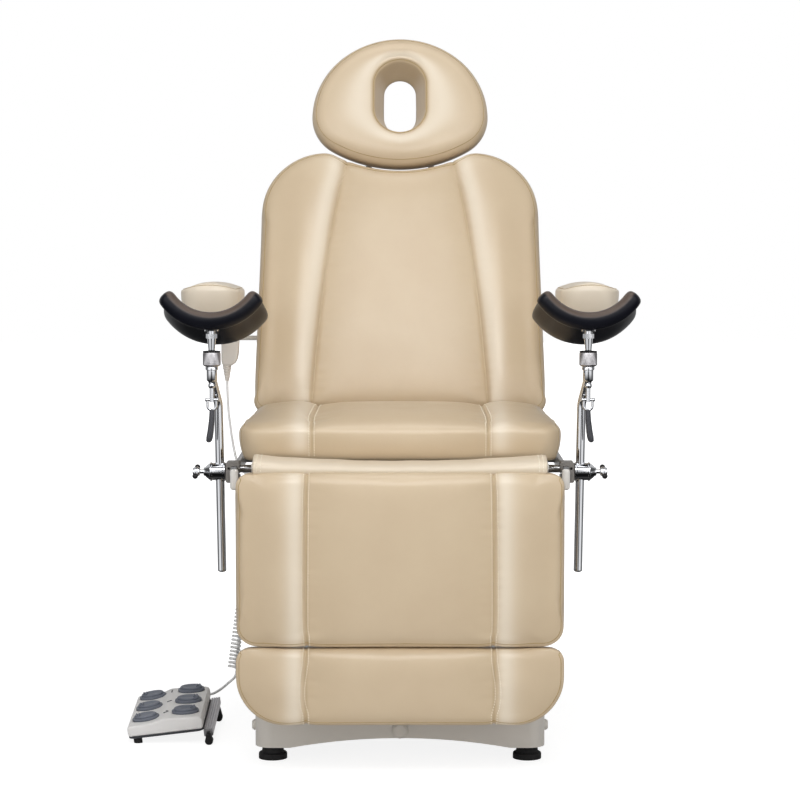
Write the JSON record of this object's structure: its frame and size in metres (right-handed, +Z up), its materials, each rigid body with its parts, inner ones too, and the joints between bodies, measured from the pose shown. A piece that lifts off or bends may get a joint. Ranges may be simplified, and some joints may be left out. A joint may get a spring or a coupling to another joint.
{
  "type": "gynecological examination chair",
  "caption": "Examination chair on a lifting column with reclining back, head pad with face hole, swing-up leg rest, clamped knee supports, foot control and hand control.",
  "frame": {"origin": "on the floor, in the middle of the chair's width, 250 mm behind the seat cushion's front edge", "axes": "+X to the right seen from the foot end, +Y from the foot end to the head end, +Z up"},
  "size_m": [1.0361, 0.956, 1.4902],
  "materials": {
    "leatherette": "fine-grained leatherette, soft sheen",
    "black_moulding": "integral-skin foam, satin",
    "chrome": "polished chrome plate",
    "satin_aluminium": "satin",
    "lever_grip": "satin plastic",
    "white_paint": "powder coat",
    "cover_white": "fine-textured moulding",
    "lock_lever_white": "gloss",
    "black_rubber": "matte",
    "rail_steel": "brushed along its length",
    "jaw_grey": "satin grey",
    "drive_grey": "moulded",
    "foot_control_grey": "fine-textured moulding",
    "foot_plate_dark": "moulded",
    "pedal_blue_grey": "soft-touch moulding",
    "handset_taupe": "fine-textured moulding",
    "cord_grey": "satin jacket"
  },
  "bodies": {
    "base": {"base_frame": "white_paint", "base_cover": "cover_white", "cover_screw_caps": "cover_white", "levelling_feet": "black_rubber", "column_outer": "white_paint", "column_glide": "drive_grey", "lift_motor": "drive_grey", "pedal_housing": "foot_control_grey", "pedal_base_plate": "foot_plate_dark", "pedal_box_feet": "black_rubber", "pedal_handle_bar": "satin_aluminium", "pedal_cord_relief": "cord_grey", "pedal_cord": "cord_grey"},
    "seat": {"column_inner": "white_paint", "seat_frame": "white_paint", "seat_cushion": "leatherette", "seat_flap": "leatherette", "side_rails": "rail_steel", "rail_jaws": "jaw_grey", "control_box": "drive_grey", "back_actuator": "drive_grey", "leg_actuator": "drive_grey", "handset_cord": "cord_grey"},
    "back_rod": {"back_actuator_rod": "rail_steel"},
    "leg_rod": {"leg_actuator_rod": "rail_steel"},
    "backrest": {"back_frame": "white_paint", "back_cushion": "leatherette", "handset_case": "handset_taupe"},
    "headrest": {"headrest_frame": "rail_steel", "headrest_cushion": "leatherette"},
    "legrest": {"legrest_frame": "white_paint", "legrest_cushion": "leatherette"},
    "footrest": {"footrest_rails": "rail_steel", "footrest_cushion": "leatherette"},
    "pedal_1": {"pedal_1": "pedal_blue_grey"},
    "pedal_2": {"pedal_2": "pedal_blue_grey"},
    "pedal_3": {"pedal_3": "pedal_blue_grey"},
    "pedal_4": {"pedal_4": "pedal_blue_grey"},
    "pedal_5": {"pedal_5": "pedal_blue_grey"},
    "pedal_6": {"pedal_6": "pedal_blue_grey"},
    "left_armrest": {"left_armrest_pad": "leatherette", "left_armrest_arm": "white_paint"},
    "left_jaw_lever": {"left_jaw_lever": "lock_lever_white"},
    "left_swivel": {"left_swivel_clamp": "chrome"},
    "left_screw": {"left_clamp_screw": "chrome"},
    "left_rod": {"left_support_rod": "chrome"},
    "left_collar": {"left_ball_collar": "satin_aluminium"},
    "left_lever": {"left_cam_lever": "lever_grip"},
    "left_trough": {"left_ball_stud": "chrome", "left_knee_trough": "black_moulding"},
    "right_armrest": {"right_armrest_pad": "leatherette", "right_armrest_arm": "white_paint"},
    "right_jaw_lever": {"right_jaw_lever": "lock_lever_white"},
    "right_swivel": {"right_swivel_clamp": "chrome"},
    "right_screw": {"right_clamp_screw": "chrome"},
    "right_rod": {"right_support_rod": "chrome"},
    "right_collar": {"right_ball_collar": "satin_aluminium"},
    "right_lever": {"right_cam_lever": "lever_grip"},
    "right_trough": {"right_ball_stud": "chrome", "right_knee_trough": "black_moulding"}
  },
  "joints": [
    {"name": "lift", "type": "slide", "parent": "base", "child": "seat", "axis": [0, 0, 1], "range_m": [0, 0.23], "deforming": ["pedal_cord"]},
    {"name": "recline", "type": "hinge", "parent": "seat", "child": "backrest", "pos_m": [0, 0.268, 0.62], "axis": [-1, 0, 0], "range_deg": [0, 70], "deforming": ["handset_cord"]},
    {"name": "legrest_lift", "type": "hinge", "parent": "seat", "child": "legrest", "pos_m": [0, -0.25, 0.603], "axis": [-1, 0, 0], "range_deg": [0, 88], "deforming": ["seat_flap"]},
    {"name": "footrest_slide", "type": "slide", "parent": "legrest", "child": "footrest", "axis": [0, 0, -1], "range_m": [0, 0.18]},
    {"name": "headrest_slide", "type": "slide", "parent": "backrest", "child": "headrest", "axis": [0, 0.309, 0.9511], "range_m": [0, 0.08]},
    {"name": "back_rod_slide", "type": "slide", "parent": "seat", "child": "back_rod", "axis": [0, -1, 0], "range_m": [0, 0.10344]},
    {"name": "leg_rod_slide", "type": "slide", "parent": "seat", "child": "leg_rod", "axis": [0, -1, 0], "range_m": [0, 0.09745]},
    {"name": "pedal_1_press", "type": "slide", "parent": "base", "child": "pedal_1", "axis": [0.1219, 0.1037, -0.9871], "range_m": [0, 0.0035], "stiffness_N_per_m": 1500, "springref_m": -0.002},
    {"name": "pedal_2_press", "type": "slide", "parent": "base", "child": "pedal_2", "axis": [0.1219, 0.1037, -0.9871], "range_m": [0, 0.0035], "stiffness_N_per_m": 1500, "springref_m": -0.002},
    {"name": "pedal_3_press", "type": "slide", "parent": "base", "child": "pedal_3", "axis": [0.1219, 0.1037, -0.9871], "range_m": [0, 0.0035], "stiffness_N_per_m": 1500, "springref_m": -0.002},
    {"name": "pedal_4_press", "type": "slide", "parent": "base", "child": "pedal_4", "axis": [0.1219, 0.1037, -0.9871], "range_m": [0, 0.0035], "stiffness_N_per_m": 1500, "springref_m": -0.002},
    {"name": "pedal_5_press", "type": "slide", "parent": "base", "child": "pedal_5", "axis": [0.1219, 0.1037, -0.9871], "range_m": [0, 0.0035], "stiffness_N_per_m": 1500, "springref_m": -0.002},
    {"name": "pedal_6_press", "type": "slide", "parent": "base", "child": "pedal_6", "axis": [0.1219, 0.1037, -0.9871], "range_m": [0, 0.0035], "stiffness_N_per_m": 1500, "springref_m": -0.002},
    {"name": "left_armrest_turn", "type": "hinge", "parent": "backrest", "child": "left_armrest", "pos_m": [-0.326, 0.37436, 0.85672], "axis": [-1, 0, 0], "range_deg": [0, 90]},
    {"name": "left_jaw_lever_turn", "type": "hinge", "parent": "seat", "child": "left_jaw_lever", "pos_m": [-0.338, -0.215, 0.6005], "axis": [0, 1, 0], "range_deg": [0, 90]},
    {"name": "left_swivel_tilt", "type": "hinge", "parent": "seat", "child": "left_swivel", "pos_m": [-0.355, -0.215, 0.5925], "axis": [1, 0, 0], "range_deg": [0, 25]},
    {"name": "left_rod_slide", "type": "slide", "parent": "left_swivel", "child": "left_rod", "axis": [-0.0297, 0, 0.9996], "range_m": [0, 0.12]},
    {"name": "left_screw_turn", "type": "hinge", "parent": "left_swivel", "child": "left_screw", "pos_m": [-0.355, -0.215, 0.5925], "axis": [1, 0, 0], "range_deg": [0, 180]},
    {"name": "left_collar_turn", "type": "hinge", "parent": "left_rod", "child": "left_collar", "pos_m": [-0.37, -0.238, 0.809], "axis": [0, 0, 1], "range_deg": [-25, 25]},
    {"name": "left_trough_tilt", "type": "hinge", "parent": "left_collar", "child": "left_trough", "pos_m": [-0.37, -0.238, 0.809], "axis": [1, 0, 0], "range_deg": [-15, 15]},
    {"name": "left_lever_lift", "type": "hinge", "parent": "left_rod", "child": "left_lever", "pos_m": [-0.37, -0.238, 0.73], "axis": [-1, 0, 0], "range_deg": [0, 100]},
    {"name": "right_armrest_turn", "type": "hinge", "parent": "backrest", "child": "right_armrest", "pos_m": [0.326, 0.37436, 0.85672], "axis": [-1, 0, 0], "range_deg": [0, 90]},
    {"name": "right_jaw_lever_turn", "type": "hinge", "parent": "seat", "child": "right_jaw_lever", "pos_m": [0.338, -0.215, 0.6005], "axis": [0, -1, 0], "range_deg": [0, 90]},
    {"name": "right_swivel_tilt", "type": "hinge", "parent": "seat", "child": "right_swivel", "pos_m": [0.355, -0.215, 0.5925], "axis": [1, 0, 0], "range_deg": [0, 25]},
    {"name": "right_rod_slide", "type": "slide", "parent": "right_swivel", "child": "right_rod", "axis": [0.0297, 0, 0.9996], "range_m": [0, 0.12]},
    {"name": "right_screw_turn", "type": "hinge", "parent": "right_swivel", "child": "right_screw", "pos_m": [0.355, -0.215, 0.5925], "axis": [1, 0, 0], "range_deg": [0, 180]},
    {"name": "right_collar_turn", "type": "hinge", "parent": "right_rod", "child": "right_collar", "pos_m": [0.37, -0.238, 0.809], "axis": [0, 0, 1], "range_deg": [-25, 25]},
    {"name": "right_trough_tilt", "type": "hinge", "parent": "right_collar", "child": "right_trough", "pos_m": [0.37, -0.238, 0.809], "axis": [1, 0, 0], "range_deg": [-15, 15]},
    {"name": "right_lever_lift", "type": "hinge", "parent": "right_rod", "child": "right_lever", "pos_m": [0.37, -0.238, 0.73], "axis": [-1, 0, 0], "range_deg": [0, 100]}
  ],
  "couplings": [
    {"joint": "back_rod_slide", "follows": "recline", "m_per_rad": 0.084506},
    {"joint": "leg_rod_slide", "follows": "legrest_lift", "m_per_rad": 0.06332}
  ]
}
